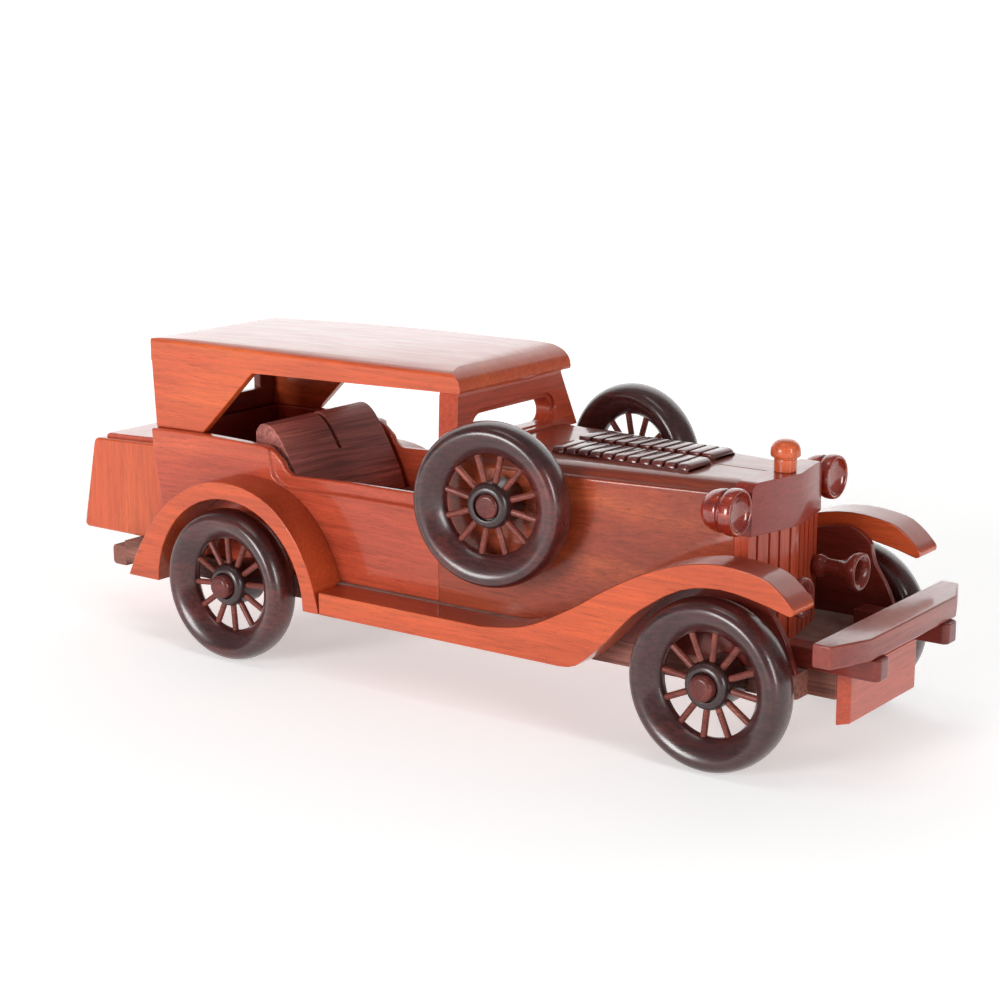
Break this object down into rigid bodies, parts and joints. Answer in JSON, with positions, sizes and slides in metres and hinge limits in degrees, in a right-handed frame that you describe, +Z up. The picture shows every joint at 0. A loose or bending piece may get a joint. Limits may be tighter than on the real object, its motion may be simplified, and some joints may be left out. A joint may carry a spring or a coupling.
{
  "type": "wooden vintage car model",
  "caption": "Hand-made wooden model of a long-hood vintage touring car with hard top, open sides, spoked wheels that turn, side-mounted spares, barrel lamps and horns.",
  "frame": {"origin": "on the floor plane, below the middle of the overall length and width", "axes": "+X towards the radiator and bumper, +Y to the car's left, +Z up"},
  "size_m": [0.4423, 0.138, 0.1468],
  "materials": {
    "board_wood": "dusty satin dark hardwood",
    "body_wood": "satin varnish over red brown hardwood",
    "roof_wood": "satin varnish over red brown hardwood",
    "fender_wood": "satin varnish over orange red hardwood",
    "dark_wood": "matt dark stained hardwood",
    "trim_wood": "glossy varnish over turned hardwood",
    "peg_wood": "satin dark stained dowel",
    "tyre_wood": "satin almost black stained hardwood",
    "hub_wood": "satin almost black stained hardwood",
    "spoke_wood": "satin mid brown dowel"
  },
  "bodies": {
    "car": {"chassis_board": "board_wood", "rear_bar": "board_wood", "tub_side_r": "body_wood", "tub_side_l": "body_wood", "rear_wall": "body_wood", "cabin_floor": "board_wood", "seat_back": "dark_wood", "boot": "body_wood", "boot_lid": "body_wood", "rear_window_panel": "body_wood", "quarter_r": "body_wood", "quarter_l": "body_wood", "roof": "roof_wood", "windscreen": "body_wood", "hood": "body_wood", "louvres_r": "roof_wood", "louvres_l": "roof_wood", "radiator_shell": "trim_wood", "radiator_grille": "dark_wood", "radiator_cap": "trim_wood", "lamp_r": "trim_wood", "lamp_l": "trim_wood", "horn_r": "trim_wood", "horn_l": "trim_wood", "front_fender_r": "fender_wood", "front_fender_l": "fender_wood", "rear_fender_r": "fender_wood", "rear_fender_l": "fender_wood", "inner_panel_r": "body_wood", "inner_panel_l": "body_wood", "bumper": "fender_wood", "bracket_r": "fender_wood", "bracket_l": "fender_wood", "front_plate": "fender_wood", "axle_pegs": "peg_wood", "spare_pegs": "peg_wood"},
    "front_wheel_r": {"tyre_fr": "tyre_wood", "spokes_fr": "spoke_wood", "hub_fr": "hub_wood"},
    "front_wheel_l": {"tyre_fl": "tyre_wood", "spokes_fl": "spoke_wood", "hub_fl": "hub_wood"},
    "rear_wheel_r": {"tyre_rr": "tyre_wood", "spokes_rr": "spoke_wood", "hub_rr": "hub_wood"},
    "rear_wheel_l": {"tyre_rl": "tyre_wood", "spokes_rl": "spoke_wood", "hub_rl": "hub_wood"},
    "spare_wheel_r": {"tyre_sr": "tyre_wood", "spokes_sr": "spoke_wood", "hub_sr": "hub_wood"},
    "spare_wheel_l": {"tyre_sl": "tyre_wood", "spokes_sl": "spoke_wood", "hub_sl": "hub_wood"}
  },
  "joints": [
    {"name": "front_wheel_r_spin", "type": "hinge", "parent": "car", "child": "front_wheel_r", "pos_m": [0.1603, -0.0596, 0.0357], "axis": [0, 1, 0], "continuous": true},
    {"name": "front_wheel_l_spin", "type": "hinge", "parent": "car", "child": "front_wheel_l", "pos_m": [0.1603, 0.0596, 0.0357], "axis": [0, 1, 0], "continuous": true},
    {"name": "rear_wheel_r_spin", "type": "hinge", "parent": "car", "child": "rear_wheel_r", "pos_m": [-0.0979, -0.0596, 0.0357], "axis": [0, 1, 0], "continuous": true},
    {"name": "rear_wheel_l_spin", "type": "hinge", "parent": "car", "child": "rear_wheel_l", "pos_m": [-0.0979, 0.0596, 0.0357], "axis": [0, 1, 0], "continuous": true},
    {"name": "spare_wheel_r_spin", "type": "hinge", "parent": "car", "child": "spare_wheel_r", "pos_m": [0.05, -0.0558, 0.093], "axis": [-0.1564, 0.9877, 0], "continuous": true},
    {"name": "spare_wheel_l_spin", "type": "hinge", "parent": "car", "child": "spare_wheel_l", "pos_m": [0.05, 0.0558, 0.093], "axis": [0.1564, 0.9877, 0], "continuous": true}
  ]
}
